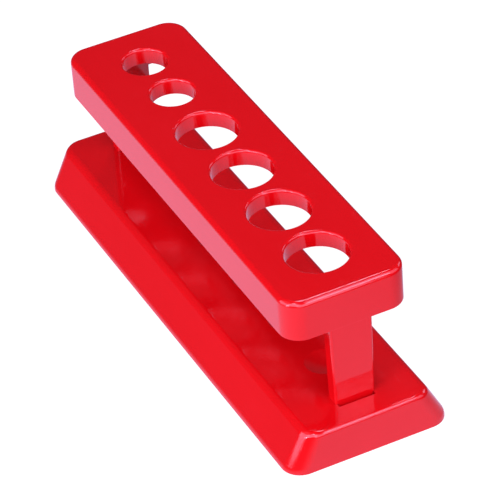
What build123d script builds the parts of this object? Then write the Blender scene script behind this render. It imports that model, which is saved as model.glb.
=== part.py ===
from build123d import *
import math
import os

# Test tube holder in glossy injection-moulded plastic: a hollow base, and a tube tray that
# stands over it on two end posts. The posts' tongues drop into two slots in the base, so the
# tray lifts straight off.
#
# Frame: millimetres, origin on the ground under the middle of the base, +X along the base
# towards the large tube holes (the near end), +Y across it, +Z up.

# Driving dimensions of the base
BASE_HEIGHT = 14.2
BASE_FOOT = (186.4, 57.4)      # outline on the ground
BASE_TOP = (186.4, 43.9)       # outline of the top face, before its edge is rounded
BASE_FOOT_CORNER = 6.8
BASE_TOP_CORNER = 5.8
BASE_LIP = 1.2                 # height at which the long sides would turn from upright to sloping
BASE_FOOT_ROUND = 4.6          # soft turn from the upright foot into the slope
BASE_SIDE_ROUND = 3.2          # top edge along the sloped sides
BASE_END_ROUND = 1.3           # top edge across the upright ends
ROUND_STEPS = 6                # bands that make up each round
BASE_WALL = 2.0
BASE_TOP_WALL = 2.2

# Driving dimensions of the tray
TRAY_SIZE = (166.2, 42.9)
TRAY_TOP = 57.9
TRAY_SKIRT = 14.2              # depth of the skirt, from the top face to its lower edge
TRAY_CORNER = 7.25
TRAY_EDGE_ROUND = 1.8
TRAY_WALL = 2.0
TRAY_TOP_WALL = 2.2

# Driving dimensions of the tube holes
LARGE_HOLE_R = 10.5
SMALL_HOLE_R = 7.7
HOLE_ROUND = 0.9               # rounded upper mouth of each hole
COLLAR_DEPTH = 5.8             # from the top face to the collar's lower edge
COLLAR_WALL = 1.6
NEAR_HOLE_X = 61.7
LARGE_PITCH = 25.9
SMALL_PITCH = 21.6
LARGE_HOLES = 4
SMALL_HOLES = 2

# Driving dimensions of the seats that the tube bottoms stand in, pressed into the base's top
LARGE_SEAT_R = 6.4
SMALL_SEAT_R = 4.9
LARGE_SEAT_DEPTH = 0.8
SMALL_SEAT_DEPTH = 0.6
SEAT_WALL = 1.8                # thickness left under the seat
SEAT_ROUND = 0.5

# Driving dimensions of the posts, their tongues and the sockets
POST_THICKNESS = 4.9
POST_TOP_WIDTH = 14.9          # where the post leaves the skirt
POST_FOOT_WIDTH = 14.1
POST_OUTER_ROUND = 0.8
POST_INNER_ROUND = 0.6
POST_SHOULDER = 0.9            # step from the post's foot in to its tongue, on each side
TONGUE_TIP = 2.2               # height of the tongue's lower end above the ground
TONGUE_LEAD_IN = 0.8
REST_GAP = 0.1                 # between the shoulders and the base's top face
FIT_GAP = 0.3                  # between the tongue and the walls of its socket
SLOT_FRONT_GAP = 1.5           # the slot shows this much in front of the post
SOCKET_WALL = 1.6
SOCKET_BOTTOM = 1.2

# Derived places
base_lean = math.atan2((BASE_FOOT[1] - BASE_TOP[1]) / 2, BASE_HEIGHT - BASE_LIP)
base_top_inside = BASE_HEIGHT - BASE_TOP_WALL
skirt_bottom = TRAY_TOP - TRAY_SKIRT
tray_top_inside = TRAY_TOP - TRAY_TOP_WALL
collar_bottom = TRAY_TOP - COLLAR_DEPTH
post_outer = TRAY_SIZE[0] / 2
post_inner = post_outer - POST_THICKNESS
post_foot = BASE_HEIGHT + REST_GAP
tongue_width = POST_FOOT_WIDTH - 2 * POST_SHOULDER
slot_width = tongue_width + 2 * FIT_GAP
large_hole_x = [NEAR_HOLE_X - LARGE_PITCH * i for i in range(LARGE_HOLES)]
first_small_x = large_hole_x[-1] - LARGE_PITCH
small_hole_x = [first_small_x - SMALL_PITCH * i for i in range(SMALL_HOLES)]


def tube_places():
    """Each hole's place along the base, its radius, and its seat's radius and depth."""
    for x in large_hole_x:
        yield x, LARGE_HOLE_R, LARGE_SEAT_R, LARGE_SEAT_DEPTH
    for x in small_hole_x:
        yield x, SMALL_HOLE_R, SMALL_SEAT_R, SMALL_SEAT_DEPTH


def rounded_outline(size, corner, z):
    """A rectangle with rounded corners, lying at height z."""
    return Plane.XY.offset(z) * RectangleRounded(size[0], size[1], corner)


def standing_box(x_range, width, z_range):
    """A box between two X values and two heights, centred across the base."""
    length = x_range[1] - x_range[0]
    height = z_range[1] - z_range[0]
    middle = ((x_range[0] + x_range[1]) / 2, 0, z_range[0])
    return Pos(*middle) * Box(length, width, height, align=(Align.CENTER, Align.CENTER, Align.MIN))


def upright_cylinder(x, radius, z_range):
    """A cylinder standing on the base's centre line between two heights."""
    height = z_range[1] - z_range[0]
    align = (Align.CENTER, Align.CENTER, Align.MIN)
    return Pos(x, 0, z_range[0]) * Cylinder(radius, height, align=align)


def edges_at_height(body, z):
    """Edges of a body that lie wholly at one height."""
    return body.edges().filter_by_position(Axis.Z, z - 1e-4, z + 1e-4)


def circles_at_height(body, z, radius):
    """Round edges of one radius at one height."""
    found = edges_at_height(body, z).filter_by(GeomType.CIRCLE)
    return [edge for edge in found if abs(edge.radius - radius) < 1e-3]


def base_side_profile():
    """Heights and half widths up one long side: upright foot, soft turn, slope, top round."""
    foot_middle = BASE_LIP - BASE_FOOT_ROUND * math.tan(base_lean / 2)
    points = [(0, BASE_FOOT[1] / 2)]
    for step in range(ROUND_STEPS + 1):
        tilt = base_lean * step / ROUND_STEPS
        height = foot_middle + BASE_FOOT_ROUND * math.sin(tilt)
        points.append((height, BASE_FOOT[1] / 2 - BASE_FOOT_ROUND * (1 - math.cos(tilt))))
    flat_edge = BASE_TOP[1] / 2 - BASE_SIDE_ROUND * math.tan((math.pi / 2 - base_lean) / 2)
    for step in range(ROUND_STEPS + 1):
        tilt = base_lean + (math.pi / 2 - base_lean) * step / ROUND_STEPS
        height = BASE_HEIGHT - BASE_SIDE_ROUND * (1 - math.sin(tilt))
        points.append((height, flat_edge + BASE_SIDE_ROUND * math.cos(tilt)))
    return points


def base_end_inset(z):
    """How far the rounded top edge of an upright end has drawn in at a height."""
    rise = max(0, z - (BASE_HEIGHT - BASE_END_ROUND))
    return BASE_END_ROUND - math.sqrt(BASE_END_ROUND**2 - min(rise, BASE_END_ROUND) ** 2)


def base_block():
    """The base's solid outer form, as thin bands between its outlines at each height."""
    outlines = []
    for z, half_width in base_side_profile():
        share = z / BASE_HEIGHT
        drawn_in = base_end_inset(z)
        corner = BASE_FOOT_CORNER + (BASE_TOP_CORNER - BASE_FOOT_CORNER) * share - drawn_in
        outlines.append(rounded_outline((BASE_FOOT[0] - 2 * drawn_in, 2 * half_width), corner, z))
    return loft(outlines, ruled=True)


def base_hollow():
    """The hollow inside the base, open underneath."""
    foot_size = (BASE_FOOT[0] - 2 * BASE_WALL, BASE_FOOT[1] - 2 * BASE_WALL)
    top_size = (BASE_TOP[0] - 2 * BASE_WALL, BASE_TOP[1] - 2 * BASE_WALL)
    lower = rounded_outline(foot_size, BASE_FOOT_CORNER - BASE_WALL, 0)
    upper = rounded_outline(top_size, BASE_TOP_CORNER - BASE_WALL, base_top_inside)
    return loft([lower, upper], ruled=True)


def seat_cut(x, radius, depth):
    """The shallow bowl of one tube seat, as a ball sunk into the base's top."""
    ball = (radius**2 + depth**2) / (2 * depth)
    return Pos(x, 0, BASE_HEIGHT - depth + ball) * Sphere(ball)


def base_shell():
    """Hollow base, open underneath, with a slot at each end and six tube seats."""
    shell = base_block() - base_hollow()
    for x, _, seat_r, depth in tube_places():
        boss_bottom = BASE_HEIGHT - depth - SEAT_WALL
        shell += upright_cylinder(x, seat_r + SEAT_WALL, (boss_bottom, base_top_inside))
    for x, _, seat_r, depth in tube_places():
        shell -= seat_cut(x, seat_r, depth)
        shell = fillet(circles_at_height(shell, BASE_HEIGHT, seat_r), SEAT_ROUND)
    slot = standing_box(
        (post_inner - FIT_GAP, post_outer + SLOT_FRONT_GAP),
        slot_width,
        (base_top_inside - 1, BASE_HEIGHT + 1),
    )
    shell -= slot
    shell -= mirror(slot, Plane.YZ)
    return shell


def post_socket():
    """Four walls under the base's top that hold the near post's tongue upright."""
    inner = (post_inner - FIT_GAP, post_outer + FIT_GAP)
    outer = (inner[0] - SOCKET_WALL, inner[1] + SOCKET_WALL)
    socket = standing_box(outer, slot_width + 2 * SOCKET_WALL, (SOCKET_BOTTOM, base_top_inside))
    socket = fillet(socket.edges().filter_by(Axis.Z), SOCKET_WALL / 2)
    return socket - standing_box(inner, slot_width, (0, BASE_HEIGHT))


def tube_tray():
    """Inverted tray: a flat top with six collared holes, and a skirt all round."""
    height = TRAY_TOP - skirt_bottom
    tray = extrude(rounded_outline(TRAY_SIZE, TRAY_CORNER, skirt_bottom), height)
    tray = fillet(edges_at_height(tray, TRAY_TOP), TRAY_EDGE_ROUND)
    inside_size = (TRAY_SIZE[0] - 2 * TRAY_WALL, TRAY_SIZE[1] - 2 * TRAY_WALL)
    inside = rounded_outline(inside_size, TRAY_CORNER - TRAY_WALL, skirt_bottom)
    tray -= extrude(inside, tray_top_inside - skirt_bottom)
    for x, hole_r, _, _ in tube_places():
        tray += upright_cylinder(x, hole_r + COLLAR_WALL, (collar_bottom, tray_top_inside))
    for x, hole_r, _, _ in tube_places():
        tray -= upright_cylinder(x, hole_r, (collar_bottom - 1, TRAY_TOP + 1))
        tray = fillet(circles_at_height(tray, TRAY_TOP, hole_r), HOLE_ROUND)
    return tray


def post_width(z):
    """Width of a post at a height: it narrows evenly from the skirt down to the foot."""
    share = (z - post_foot) / (skirt_bottom - post_foot)
    return POST_FOOT_WIDTH + (POST_TOP_WIDTH - POST_FOOT_WIDTH) * share


def post_section(z):
    """The post's cross-section at a height, with its two outer corners rounded more."""
    half = post_width(z) / 2
    middle = (post_outer + post_inner) / 2
    flat = Pos(middle, 0, z) * Rectangle(POST_THICKNESS, 2 * half)
    corners = flat.vertices().sort_by(Axis.X)
    flat = fillet(corners[2:], POST_OUTER_ROUND)
    corners = flat.vertices().group_by(Axis.X)[0]
    return fillet(corners, POST_INNER_ROUND)


def post():
    """The near post: a tapered bar from the tray's top down to its shoulders, then a tongue."""
    bar = loft([post_section(post_foot), post_section(tray_top_inside)], ruled=True)
    skirt_wall = standing_box(
        (post_outer - TRAY_WALL, post_outer + 1),
        2 * POST_TOP_WIDTH,
        (skirt_bottom, TRAY_TOP),
    )
    bar -= skirt_wall
    tongue = standing_box((post_inner, post_outer), tongue_width, (TONGUE_TIP, post_foot))
    tongue = chamfer(edges_at_height(tongue, TONGUE_TIP), TONGUE_LEAD_IN)
    return bar + tongue


near_post = post()
near_socket = post_socket()

sub_parts = {
    "base_shell": base_shell(),
    "near_post_socket": near_socket,
    "far_post_socket": mirror(near_socket, Plane.YZ),
    "tube_tray": tube_tray(),
    "near_post": near_post,
    "far_post": mirror(near_post, Plane.YZ),
}

os.makedirs("parts", exist_ok=True)
for node, solid in sub_parts.items():
    export_step(solid, f"parts/{node}.step")
    print(node, round(solid.volume), "mm3")
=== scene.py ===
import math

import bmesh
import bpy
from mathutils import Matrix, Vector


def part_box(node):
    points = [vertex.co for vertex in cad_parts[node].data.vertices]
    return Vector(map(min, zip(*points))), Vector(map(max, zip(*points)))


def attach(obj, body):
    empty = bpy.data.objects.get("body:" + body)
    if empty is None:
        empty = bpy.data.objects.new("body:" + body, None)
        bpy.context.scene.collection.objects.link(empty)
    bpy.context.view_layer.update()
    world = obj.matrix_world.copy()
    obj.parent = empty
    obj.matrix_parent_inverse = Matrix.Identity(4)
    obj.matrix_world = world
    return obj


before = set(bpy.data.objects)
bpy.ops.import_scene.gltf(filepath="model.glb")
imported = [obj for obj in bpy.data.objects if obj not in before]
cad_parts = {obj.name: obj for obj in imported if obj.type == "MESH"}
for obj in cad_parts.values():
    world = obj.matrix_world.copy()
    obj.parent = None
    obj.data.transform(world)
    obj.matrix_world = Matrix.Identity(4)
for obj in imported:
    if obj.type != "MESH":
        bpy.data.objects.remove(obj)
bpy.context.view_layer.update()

# %% [markdown]
# # Test tube holder in glossy red plastic
# The holder is two injection mouldings. The rack is a tray with six tube holes and two posts in one
# piece; the base is a hollow shell with a socket under each end. The loaded model holds each of them
# as a few named solids in their true size and place, so this lesson measures them, smooths how they
# catch the light, gives them a moulded finish, and lights them as a product on a pale table.

MM = 0.001
rack_names = ("tube_tray", "near_post", "far_post")
base_names = ("base_shell", "near_post_socket", "far_post_socket")
for name in rack_names + base_names:
    low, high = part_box(name)
    print(name, "is", [round((high[i] - low[i]) / MM, 1) for i in range(3)], "mm")

# %% [markdown]
# ## Smooth light on the moulded faces
# A polished mould gives faces that flow into their rounded edges with no facets. The model's meshes
# are loose triangles, so each would catch the light alone. Building the shapes again would only give
# the same surfaces. Welding the doubled corners and weighting the normals by face area keeps the flat
# faces flat and lets only the rounds turn, and the sharp edges of the real part stay sharp.

# %% Weld the doubled corners and even out the normals
WELD_GAP = 0.002 * MM
CREASE = math.radians(24)       # edges sharper than this stay sharp
FACE_AREA_WEIGHT = 60


def smooth_as_moulded(part):
    part.data.shade_smooth()
    weld = part.modifiers.new("weld doubled corners", "WELD")
    weld.merge_threshold = WELD_GAP
    crease = part.modifiers.new("keep sharp edges", "EDGE_SPLIT")
    crease.split_angle = CREASE
    evened = part.modifiers.new("even normals", "WEIGHTED_NORMAL")
    evened.keep_sharp = True
    evened.weight = FACE_AREA_WEIGHT


for name in rack_names + base_names:
    smooth_as_moulded(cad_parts[name])
    print(name, "has", len(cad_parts[name].data.polygons), "faces, welded and smoothed")

# %% [markdown]
# ## The camera
# A long lens from well above and in front of the wide-hole end, as a catalogue picture is taken. It
# could be placed by hand, but angles round and above the stand are easier to read and to change. The
# camera is rolled a few degrees, so its own right and up are worked out from the level ones.

# %% Place the camera
CAMERA_ROUND = -24.07           # degrees round the stand, from the wide-hole end
CAMERA_ABOVE = 36.71            # degrees above the table
CAMERA_ROLL = math.radians(-4.52)
CAMERA_DISTANCE = 1118.7 * MM
CAMERA_AIM = Vector((15.84, -2.15, 30.0)) * MM
CAMERA_LENS = 247.5
CAMERA_SENSOR = 36
NEAREST_SEEN = 10 * MM


def pointing(degrees_round, degrees_above):
    """The unit vector that points away from the stand at these angles."""
    turned, raised = math.radians(degrees_round), math.radians(degrees_above)
    level = math.cos(raised)
    return Vector((level * math.cos(turned), level * math.sin(turned), math.sin(raised)))


scene = bpy.context.scene
scene.view_settings.view_transform = "Standard"
back = pointing(CAMERA_ROUND, CAMERA_ABOVE)
level_right = Vector((0, 0, 1)).cross(back).normalized()
level_up = back.cross(level_right)
rolled_right = level_right * math.cos(CAMERA_ROLL) + level_up * math.sin(CAMERA_ROLL)
camera_data = bpy.data.cameras.new("camera")
camera_data.lens = CAMERA_LENS
camera_data.sensor_width = CAMERA_SENSOR
camera_data.clip_start = NEAREST_SEEN
camera = bpy.data.objects.new("camera", camera_data)
scene.collection.objects.link(camera)
placed = Matrix((rolled_right, back.cross(rolled_right), back)).transposed().to_4x4()
placed.translation = CAMERA_AIM + back * CAMERA_DISTANCE
camera.matrix_world = placed
scene.camera = camera
print("the camera is", round(placed.translation.length, 3), "m from the middle of the base")

# %% [markdown]
# ## Marks that the mould leaves
# When such a moulding has set, round pins push it off the mould, and each leaves a faint ring on the
# hidden side. The plastic goes in at one small gate, whose stub is left there too. They could be
# drawn in the finish, but a ring stands a tenth of a millimetre proud and catches the light, so it
# is modelled: a disc, raised at its rim and softened, and copied to each pin's place.

# %% Model a pin ring
RING_RADIUS = 2.1 * MM
RING_WIDTH = 0.35 * MM
RING_SLOPE = 0.1 * MM           # width of the slope from the ring down to the disc inside it
RING_RISE = 0.12 * MM
DISC_SINKS = 0.8                # share of the ring's rise that the disc goes back
RING_SIDES = 40
BURIED = 0.05 * MM              # how far a mark reaches into the wall that it sits on


def add_pin_ring(shape, x, y, z):
    """A disc just under a ceiling at height z, with a raised rim that hangs down."""
    made = bmesh.ops.create_circle(shape, cap_ends=True, radius=RING_RADIUS, segments=RING_SIDES)
    disc = made["verts"][0].link_faces[0]
    bmesh.ops.translate(shape, verts=made["verts"], vec=(x, y, z + BURIED))
    pulled = bmesh.ops.extrude_face_region(shape, geom=[disc])["geom"]
    under = [part for part in pulled if isinstance(part, bmesh.types.BMFace)][0]
    bmesh.ops.translate(shape, verts=list(under.verts), vec=(0, 0, -BURIED - RING_RISE))
    for width in (RING_WIDTH, RING_SLOPE):
        bmesh.ops.inset_region(shape, faces=[under], thickness=width, depth=0)
    bmesh.ops.translate(shape, verts=list(under.verts), vec=(0, 0, RING_RISE * DISC_SINKS))


# %% Model a gate stub
GATE_RADIUS = 0.8 * MM
GATE_TIP = 0.7                  # the broken tip's radius, as a share of the root's
GATE_LENGTH = 0.6 * MM
GATE_SIDES = 24
GATE_ROUND = 0.12 * MM


def add_gate_stub(shape, x, y, z):
    """A short cone broken off under a ceiling at height z."""
    made = bmesh.ops.create_cone(shape, cap_ends=True, segments=GATE_SIDES, radius1=GATE_RADIUS * GATE_TIP,
                                 radius2=GATE_RADIUS, depth=GATE_LENGTH)
    bmesh.ops.translate(shape, verts=made["verts"], vec=(x, y, z + BURIED - GATE_LENGTH / 2))
    tip_edges = [edge for edge in shape.edges if edge.is_valid and all(
        vert in made["verts"] and vert.co.z < z - GATE_LENGTH / 2 for vert in edge.verts)]
    bmesh.ops.bevel(shape, geom=tip_edges, offset=GATE_ROUND, affect="EDGES", segments=2, profile=0.5,
                    material=-1)


# %% Gather the marks of one moulding
def mould_marks(name, pin_places, gate_x, z, body):
    """All the marks under a ceiling at height z, as one piece that rides on a body."""
    shape = bmesh.new()
    for x, y in pin_places:
        add_pin_ring(shape, x * MM, y * MM, z)
    add_gate_stub(shape, gate_x * MM, 0, z)
    bmesh.ops.recalc_face_normals(shape, faces=shape.faces)
    mesh = bpy.data.meshes.new(name)
    shape.to_mesh(mesh)
    shape.free()
    mesh.shade_smooth()
    piece = bpy.data.objects.new(name, mesh)
    scene.collection.objects.link(piece)
    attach(piece, body)
    print(name, "has", len(pin_places), "rings and", len(mesh.polygons), "faces")
    return piece


# %% Leave the marks under the tray and under the base's top
PIN_SIDE = 12.5                 # mm from the long middle plane to each row of pins
RACK_PINS_ALONG = (74.3, 48.8, 22.9, -3.0, -29.4, -52.7, -74.3)     # between the holes and at the ends
BASE_PINS_ALONG = RACK_PINS_ALONG[1:-1]                             # the sockets stand at the ends
RACK_GATE, BASE_GATE = -29.4, -3.0
TOP_WALL = 2.2 * MM


def both_rows(along):
    """Places along the stand, repeated on each side of its middle plane."""
    return [(x, side * PIN_SIDE) for x in along for side in (-1, 1)]


tray_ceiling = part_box("tube_tray")[1].z - TOP_WALL
base_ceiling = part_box("base_shell")[1].z - TOP_WALL
rack_marks = mould_marks("rack_mould_marks", both_rows(RACK_PINS_ALONG), RACK_GATE, tray_ceiling,
                         "rack")
base_marks = mould_marks("base_mould_marks", both_rows(BASE_PINS_ALONG), BASE_GATE, base_ceiling,
                         "base")

# %% [markdown]
# ## Effects shared by the finishes
# Each effect is a node group with named inputs, so one idea can serve every finish at its own
# strength. A group gives out only values that change over the surface: shades, masks and heights.
# All of them start from Object coordinates, which are the model's own metres, so a size in a group
# is a real size on the holder, and a pattern's scale is its number of cells in a metre.

# %% Start a node group
def start_group(name, inputs, outputs):
    """A node group with number inputs (name: value) besides its Place, and number outputs."""
    group = bpy.data.node_groups.new(name, "ShaderNodeTree")
    group.interface.new_socket("Place", in_out="INPUT", socket_type="NodeSocketVector")
    for label, value in inputs.items():
        socket = group.interface.new_socket(label, in_out="INPUT", socket_type="NodeSocketFloat")
        socket.default_value = value
    for label in outputs:
        group.interface.new_socket(label, in_out="OUTPUT", socket_type="NodeSocketFloat")
    return group, group.nodes.new("NodeGroupInput"), group.nodes.new("NodeGroupOutput")


# %% Place common nodes
def calculate(tree, operation, *values):
    """A Math node; each value is a number or a socket."""
    node = tree.nodes.new("ShaderNodeMath")
    node.operation = operation
    for socket, value in zip(node.inputs, values):
        if isinstance(value, (int, float)):
            socket.default_value = value
        else:
            tree.links.new(value, socket)
    return node.outputs[0]


def stretched(tree, place, scale, turn=(0, 0, 0)):
    """Coordinates scaled, and turned in degrees, by a Mapping node."""
    node = tree.nodes.new("ShaderNodeMapping")
    node.inputs["Scale"].default_value = scale
    node.inputs["Rotation"].default_value = [math.radians(angle) for angle in turn]
    tree.links.new(place, node.inputs["Vector"])
    return node.outputs["Vector"]


def noise(tree, place, scale, detail=2.0, roughness=0.5):
    """The grey of a Noise Texture, from 0 to 1."""
    node = tree.nodes.new("ShaderNodeTexNoise")
    node.inputs["Scale"].default_value = scale
    node.inputs["Detail"].default_value = detail
    node.inputs["Roughness"].default_value = roughness
    tree.links.new(place, node.inputs["Vector"])
    return node.outputs["Fac"]


def between(tree, value, low, high):
    """How far a value has gone from low to high, from 0 to 1, eased at both ends."""
    node = tree.nodes.new("ShaderNodeMapRange")
    node.interpolation_type = "SMOOTHSTEP"
    tree.links.new(value, node.inputs["Value"])
    node.inputs["From Min"].default_value = low
    node.inputs["From Max"].default_value = high
    return node.outputs["Result"]


# %% [markdown]
# ### Flow of the melt
# Hot plastic runs along the mould from its gate and sets in long, soft streaks: the colour is a
# little deeper where the pigment gathered, and the polished skin swells and sinks by a few
# hundredths of a millimetre. A painted image could be laid on, but noise that is stretched
# along the moulding is sharp from any distance and has no seams.

# %% Build the flow group
BROAD_STREAKS = (14, 45, 45)
FINE_STREAKS = (60, 260, 260)
FINE_SHARE = 0.3

flow, given, result = start_group("flow of the melt", {"Streak": 1.0}, ("Shade", "Swell"))
broad = noise(flow, stretched(flow, given.outputs["Place"], BROAD_STREAKS), 1.0, 3.0, 0.55)
fine = noise(flow, stretched(flow, given.outputs["Place"], FINE_STREAKS), 1.0, 4.0, 0.6)
mixed = calculate(flow, "ADD", calculate(flow, "MULTIPLY", broad, 1 - FINE_SHARE),
                  calculate(flow, "MULTIPLY", fine, FINE_SHARE))
centred = calculate(flow, "MULTIPLY", calculate(flow, "SUBTRACT", mixed, 0.5), given.outputs["Streak"])
flow.links.new(calculate(flow, "ADD", centred, 0.5), result.inputs["Shade"])
flow.links.new(broad, result.inputs["Swell"])
print(flow.name, "uses", len(flow.nodes), "nodes")

# %% [markdown]
# ### Marks of handling
# A stand that tubes are dropped into, and that is wiped and stacked, gathers hair-thin scratches in
# every direction. The cracks between the cells of a stretched Voronoi texture are long thin lines;
# two layers of them, turned against each other and broken up by noise, look like wiping marks.

# %% Build the scratch group
ALONG_STROKES = ((30, 420, 420), (0, 0, 12))        # cells in a metre, and the turn in degrees
ACROSS_STROKES = ((420, 46, 420), (15, 0, -24))
PATCHES = 120
FEWEST_PATCHES, MORE_PATCHES = 0.28, 0.3            # noise below this much keeps its scratches

scratches, given, result = start_group("marks of handling", {"Width": 0.02, "Share": 0.5}, ("Lines",))
layers = []
for scale, angles in (ALONG_STROKES, ACROSS_STROKES):
    cells = scratches.nodes.new("ShaderNodeTexVoronoi")
    cells.feature = "DISTANCE_TO_EDGE"
    cells.inputs["Scale"].default_value = 1.0
    turned = stretched(scratches, given.outputs["Place"], scale, angles)
    scratches.links.new(turned, cells.inputs["Vector"])
    layers.append(calculate(scratches, "LESS_THAN", cells.outputs["Distance"], given.outputs["Width"]))
patches = noise(scratches, given.outputs["Place"], PATCHES, 3.0, 0.6)
more = calculate(scratches, "MULTIPLY", given.outputs["Share"], MORE_PATCHES)
kept = calculate(scratches, "LESS_THAN", patches, calculate(scratches, "ADD", FEWEST_PATCHES, more))
lines = calculate(scratches, "MULTIPLY", calculate(scratches, "MAXIMUM", *layers), kept)
scratches.links.new(lines, result.inputs["Lines"])
print(scratches.name, "uses", len(scratches.nodes), "nodes")

# %% [markdown]
# ### Settled dust
# Fine dust lies where faces look up. The normal's height picks those faces, and two noises turn an
# even film into specks and faint smears.

# %% Build the dust group
LOOKS_UP = (0.55, 0.98)         # heights of the normal where dust begins to lie, and lies fully
SPECKS = 900
SMEARS = (50, 30, 50)
SMEAR_SHARE = 0.3

dust, given, result = start_group("settled dust", {"Amount": 0.5}, ("Film",))
face = dust.nodes.new("ShaderNodeNewGeometry")
split = dust.nodes.new("ShaderNodeSeparateXYZ")
dust.links.new(face.outputs["Normal"], split.inputs["Vector"])
upward = between(dust, split.outputs["Z"], *LOOKS_UP)
specks = between(dust, noise(dust, given.outputs["Place"], SPECKS, 2.0, 0.7), 0.60, 0.78)
smeared = stretched(dust, given.outputs["Place"], SMEARS)
smears = between(dust, noise(dust, smeared, 1.0, 5.0, 0.6), 0.42, 0.75)
both = calculate(dust, "ADD", calculate(dust, "MULTIPLY", specks, 1 - SMEAR_SHARE),
                 calculate(dust, "MULTIPLY", smears, SMEAR_SHARE))
film = calculate(dust, "MULTIPLY", calculate(dust, "MULTIPLY", both, upward), given.outputs["Amount"])
dust.links.new(film, result.inputs["Film"])
print(dust.name, "uses", len(dust.nodes), "nodes")

# %% [markdown]
# ### Rubbed edges and a painted edge highlight
# Corners are handled most, so their polish goes first and they turn rougher. Along the same band a paler
# pink is painted into the colour as a painted highlight. A Bevel node gives the normal as if the corners
# were rounded by a radius. Where it leans away from the true normal, an edge is near. Noise breaks the
# band up, as real wear is patchy.

# %% Build the group for rubbed edges and the painted edge highlight
EDGE_REACH = 0.5 * MM
LEAN = (0.01, 0.22)             # an edge begins, and is fully there, where the normals differ by this
EDGE_PATCHES = 260

edge_group, given, result = start_group("edge wear and highlight", {"Patchiness": 0.6}, ("Worn and highlit",))
rounded = edge_group.nodes.new("ShaderNodeBevel")
rounded.samples = 6
rounded.inputs["Radius"].default_value = EDGE_REACH
true_face = edge_group.nodes.new("ShaderNodeNewGeometry")
agree = edge_group.nodes.new("ShaderNodeVectorMath")
agree.operation = "DOT_PRODUCT"
edge_group.links.new(rounded.outputs["Normal"], agree.inputs[0])
edge_group.links.new(true_face.outputs["Normal"], agree.inputs[1])
near_edge = between(edge_group, calculate(edge_group, "SUBTRACT", 1.0, agree.outputs["Value"]), *LEAN)
patchy = between(edge_group, noise(edge_group, given.outputs["Place"], EDGE_PATCHES, 4.0, 0.65), 0.38, 0.66)
even = calculate(edge_group, "SUBTRACT", 1.0, given.outputs["Patchiness"])
broken_up = calculate(edge_group, "MULTIPLY", patchy, given.outputs["Patchiness"])
softened = calculate(edge_group, "ADD", broken_up, even)
edge_group.links.new(calculate(edge_group, "MULTIPLY", near_edge, softened), result.inputs["Worn and highlit"])
print(edge_group.name, "uses", len(edge_group.nodes), "nodes")

# %% [markdown]
# ## The red plastic
# Such a stand is mostly polystyrene, coloured through with red pigment, and its mould was polished,
# so it is nearly as glossy as glass. One Principled shader holds the plastic. The groups shift its colour
# by a few percent, paint a paler highlight along its edges, roughen it where it is scratched, rubbed or
# dusty, and feed a Bump node with heights of hundredths of a millimetre. The rack and the base are two
# mouldings from two shots of plastic, so each has its own finish, with the pattern moved so that their
# streaks differ.

# %% Choose the reds and place a group
DEEP_RED = (0.595, 0.0014, 0.0030, 1)
BRIGHT_RED = (0.640, 0.0026, 0.0052, 1)
# a paler pink painted along the edges as a highlight
EDGE_HIGHLIGHT_RED = (0.720, 0.0300, 0.0420, 1)
DUST_GREY = (0.50, 0.46, 0.44, 1)


def mixed_colour(tree, share, first, second):
    """Two colours, each a socket or a plain colour, mixed by a share."""
    node = tree.nodes.new("ShaderNodeMix")
    node.data_type = "RGBA"
    tree.links.new(share, node.inputs["Factor"])
    for socket, colour in ((node.inputs["A"], first), (node.inputs["B"], second)):
        if isinstance(colour, tuple):
            socket.default_value = colour
        else:
            tree.links.new(colour, socket)
    return node.outputs["Result"]


def place_group(tree, group, place, **values):
    """A shared group in a finish, with the finish's own values."""
    node = tree.nodes.new("ShaderNodeGroup")
    node.node_tree = group
    tree.links.new(place, node.inputs["Place"])
    for label, value in values.items():
        node.inputs[label].default_value = value
    return node.outputs


# %% Make the finish of a moulding
STREAK = 1.6
SCRATCH_WIDTH = 0.012
EDGE_PATCHINESS = 0.7
EDGE_HIGHLIGHT_SHOWS, DUST_SHOWS = 0.35, 0.008              # how far the painted edge highlight and the dust change the colour
DULLED = {"streak": 0.05, "scratch": 0.12, "edge": 0.10, "dust": 0.12}      # roughness each adds
PIT_SIZE, PIT_HEIGHT, SCRATCH_HEIGHT = 2600, 0.006, -0.02
SKIN_HEIGHT = 0.12 * MM
SKIN_STRENGTH = 0.5
PLASTIC_IOR = 1.54


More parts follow.
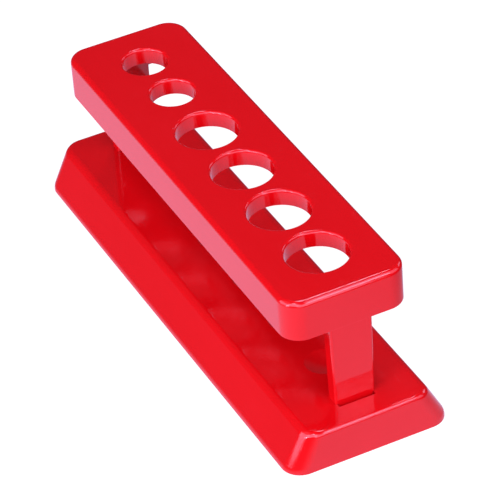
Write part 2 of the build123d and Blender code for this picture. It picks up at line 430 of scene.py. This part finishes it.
def moulded_plastic(name, shift, polish, scratch_share, dust_amount):
    finish = bpy.data.materials.new(name)
    finish.use_nodes = True
    tree = finish.node_tree
    shader = tree.nodes["Principled BSDF"]
    shader.inputs["IOR"].default_value = PLASTIC_IOR
    coordinates = tree.nodes.new("ShaderNodeTexCoord")
    moved = tree.nodes.new("ShaderNodeMapping")
    moved.inputs["Location"].default_value = shift
    tree.links.new(coordinates.outputs["Object"], moved.inputs["Vector"])
    place = moved.outputs["Vector"]
    melt = place_group(tree, flow, place, Streak=STREAK)
    lines = place_group(tree, scratches, place, Width=SCRATCH_WIDTH, Share=scratch_share)["Lines"]
    film = place_group(tree, dust, place, Amount=dust_amount)["Film"]
    worn_and_highlit = place_group(tree, edge_group, place, Patchiness=EDGE_PATCHINESS)["Worn and highlit"]

    colour = mixed_colour(tree, melt["Shade"], DEEP_RED, BRIGHT_RED)
    # paint the paler edge highlight into the colour along the edges
    colour = mixed_colour(tree, calculate(tree, "MULTIPLY", worn_and_highlit, EDGE_HIGHLIGHT_SHOWS), colour, EDGE_HIGHLIGHT_RED)
    colour = mixed_colour(tree, calculate(tree, "MULTIPLY", film, DUST_SHOWS), colour, DUST_GREY)
    tree.links.new(colour, shader.inputs["Base Color"])

    gloss = calculate(tree, "MULTIPLY_ADD", melt["Shade"], DULLED["streak"], polish)
    gloss = calculate(tree, "MULTIPLY_ADD", lines, DULLED["scratch"], gloss)
    gloss = calculate(tree, "MULTIPLY_ADD", worn_and_highlit, DULLED["edge"], gloss)
    gloss = calculate(tree, "MULTIPLY_ADD", film, DULLED["dust"], gloss)
    tree.links.new(gloss, shader.inputs["Roughness"])

    pits = noise(tree, place, PIT_SIZE, 2.0, 0.5)
    height = calculate(tree, "MULTIPLY_ADD", pits, PIT_HEIGHT, melt["Swell"])
    height = calculate(tree, "MULTIPLY_ADD", lines, SCRATCH_HEIGHT, height)
    bump = tree.nodes.new("ShaderNodeBump")
    bump.inputs["Strength"].default_value = SKIN_STRENGTH
    bump.inputs["Distance"].default_value = SKIN_HEIGHT
    tree.links.new(height, bump.inputs["Height"])
    tree.links.new(bump.outputs["Normal"], shader.inputs["Normal"])
    return finish


# %% Finish the two mouldings
rack_finish = moulded_plastic("red rack plastic", shift=(0.31, 0.12, 0.05), polish=0.045,
                              scratch_share=0.45, dust_amount=0.6)
base_finish = moulded_plastic("red base plastic", shift=(0.87, 0.44, 0.23), polish=0.055,
                              scratch_share=0.60, dust_amount=0.9)
for names, marks, finish in ((rack_names, rack_marks, rack_finish), (base_names, base_marks, base_finish)):
    for piece in [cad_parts[name] for name in names] + [marks]:
        piece.data.materials.clear()
        piece.data.materials.append(finish)
        print(piece.name, "is finished in", finish.name)

# %% [markdown]
# ## The table
# The table is a plain pale sheet with a slight sheen that runs out of sight. In a catalogue picture
# it is burnt out to white, while the upright faces of the plastic mirror it as a soft pink and the
# sloping ones, which meet it at a glance, hardly at all, as there its sheen shows the dark room. A
# lit white sheet could do this only at the exposure of one of them. So a Light Path node tells the
# camera's rays from the rest: the camera sees nearly white paper with a trace of contact shadow, and
# the plastic sees cool paper light that a Layer Weight node dims towards a glancing view. The back
# of the sheet is clear, by its Backfacing value, so the hollow underside can be looked at too.

# %% Lay the table
TABLE_REACH = 4
table_mesh = bpy.data.meshes.new("table")
sheet = bmesh.new()
bmesh.ops.create_grid(sheet, x_segments=1, y_segments=1, size=TABLE_REACH)
sheet.to_mesh(table_mesh)
sheet.free()
table = bpy.data.objects.new("table", table_mesh)
scene.collection.objects.link(table)
print("the table is", round(table.dimensions.x, 1), "m wide")

# %% Work out the light that the plastic sees in the table
LEFT_LIGHT = 0.88
FRONT_LIGHT = 0.72
FRONT_STARTS = (0.06, 0.16)     # the paper is a little dimmer in front of the near end
GLANCING = (0.45, 0.86)         # the sheen takes over from the first of these slants to the second
SHEEN_LEFT = 0.17
RIGHT_STARTS = (0.02, 0.12)     # it is much dimmer on the right, away from the lights
RIGHT_LOSS = 0.75

paper = bpy.data.materials.new("pale paper")
paper.use_nodes = True
tree = paper.node_tree
tree.nodes.clear()
coordinates = tree.nodes.new("ShaderNodeTexCoord")
along_across = tree.nodes.new("ShaderNodeSeparateXYZ")
tree.links.new(coordinates.outputs["Object"], along_across.inputs["Vector"])
front = between(tree, along_across.outputs["X"], *FRONT_STARTS)
paper_light = calculate(tree, "MULTIPLY_ADD", front, FRONT_LIGHT - LEFT_LIGHT, LEFT_LIGHT)
slant = tree.nodes.new("ShaderNodeLayerWeight")
slant.inputs["Blend"].default_value = 0.5
glancing = between(tree, slant.outputs["Facing"], *GLANCING)
facing_on = calculate(tree, "MULTIPLY_ADD", glancing, SHEEN_LEFT - 1, 1)
to_right = between(tree, along_across.outputs["Y"], *RIGHT_STARTS)
kept_right = calculate(tree, "MULTIPLY_ADD", to_right, -RIGHT_LOSS, 1)
mirrored = calculate(tree, "MULTIPLY", calculate(tree, "MULTIPLY", paper_light, facing_on), kept_right)

# %% Show each kind of ray its own table
COOL_WHITE = (1.0, 0.88, 1.28)
BURNT_OUT = 0.90
SHADOW_GREY = (0.2, 0.2, 0.2, 1)


def mixed_shader(tree, share, first, second):
    """The first shader where the share is 0, and the second where it is 1."""
    node = tree.nodes.new("ShaderNodeMixShader")
    for socket, output in zip(node.inputs, (share, first, second)):
        tree.links.new(output, socket)
    return node.outputs["Shader"]


felt = tree.nodes.new("ShaderNodeEmission")
felt.inputs["Color"].default_value = (*COOL_WHITE, 1)
tree.links.new(mirrored, felt.inputs["Strength"])
glow = tree.nodes.new("ShaderNodeEmission")
glow.inputs["Strength"].default_value = BURNT_OUT
matt = tree.nodes.new("ShaderNodeBsdfDiffuse")
matt.inputs["Color"].default_value = SHADOW_GREY
seen = tree.nodes.new("ShaderNodeAddShader")
tree.links.new(glow.outputs["Emission"], seen.inputs[0])
tree.links.new(matt.outputs["BSDF"], seen.inputs[1])
clear = tree.nodes.new("ShaderNodeBsdfTransparent")
who = tree.nodes.new("ShaderNodeLightPath")
side = tree.nodes.new("ShaderNodeNewGeometry")
top_side = mixed_shader(tree, who.outputs["Is Camera Ray"], felt.outputs["Emission"],
                        seen.outputs["Shader"])
both_sides = mixed_shader(tree, side.outputs["Backfacing"], top_side, clear.outputs["BSDF"])
surface = tree.nodes.new("ShaderNodeOutputMaterial")
tree.links.new(both_sides, surface.inputs["Surface"])
table_mesh.materials.append(paper)
print(paper.name, "uses", len(tree.nodes), "nodes")

# %% [markdown]
# ## The room
# The room is dark, so the top mirrors hardly anything and keeps its deep red. The camera is shown a
# white room instead, by another Light Path node, so that the picture ends in clean white.

# %% Darken the room
DARK_ROOM = (0.070, 0.070, 0.095, 1)
WHITE = (1, 1, 1, 1)

room = bpy.data.worlds.new("room")
scene.world = room
room.use_nodes = True
tree = room.node_tree
dark = tree.nodes["Background"]
dark.inputs["Color"].default_value = DARK_ROOM
wall = tree.nodes.new("ShaderNodeBackground")
wall.inputs["Color"].default_value = WHITE
who = tree.nodes.new("ShaderNodeLightPath")
shown = mixed_shader(tree, who.outputs["Is Camera Ray"], dark.outputs["Background"],
                     wall.outputs["Background"])
tree.links.new(shown, tree.nodes["World Output"].inputs["Surface"])
print("the room's light is", DARK_ROOM[0], "of white")

# %% [markdown]
# ## The soft boxes
# One big lamp would leave half the stand dull. So wide walls of light fill the long side, the near
# end and the top, low enough that the top doesn't mirror them to the camera. Small bright boxes draw
# what makes plastic look glossy: the line along the near edges, the stripe on the base's near corner
# and the glints on the rims of the holes. Each box's brightness is its radiance, so its power
# follows from its size.

# %% Hang the soft boxes
BOX_DISTANCE = 1.5
STAND_MIDDLE = Vector((0, 0, 0.03))


def soft_box(name, degrees_round, degrees_above, side, brightness):
    """A square soft box that faces the stand from a direction in degrees."""
    away = pointing(degrees_round, degrees_above)
    light = bpy.data.lights.new(name, "AREA")
    light.shape = "SQUARE"
    light.size = side
    light.energy = math.pi * side * side * brightness
    light.color = COOL_WHITE
    box = bpy.data.objects.new(name, light)
    scene.collection.objects.link(box)
    box.location = away * BOX_DISTANCE + STAND_MIDDLE
    box.rotation_euler = away.to_track_quat("Z", "Y").to_euler()
    print(name, "shines from", degrees_round, "degrees round and", degrees_above, "above")


soft_box("left wall", -92, 17, 1.40, 2.7)
soft_box("low corner strip", -72, 7, 0.26, 19.0)
soft_box("front left wall", -48, 34, 1.20, 2.8)
soft_box("high left", -110, 58, 0.60, 0.5)
soft_box("front", -5, 15, 1.40, 2.8)
soft_box("near edge light", 24, 42, 0.34, 7.5)
soft_box("front right wall", 52, 34, 1.00, 1.6)
soft_box("high front right", 45, 60, 0.50, 2.2)
soft_box("overhead left glint", -55, 64, 0.26, 13.0)
soft_box("overhead right glint", 147, 57, 0.26, 13.0)
soft_box("right rim", 100, 25, 0.50, 2.3)
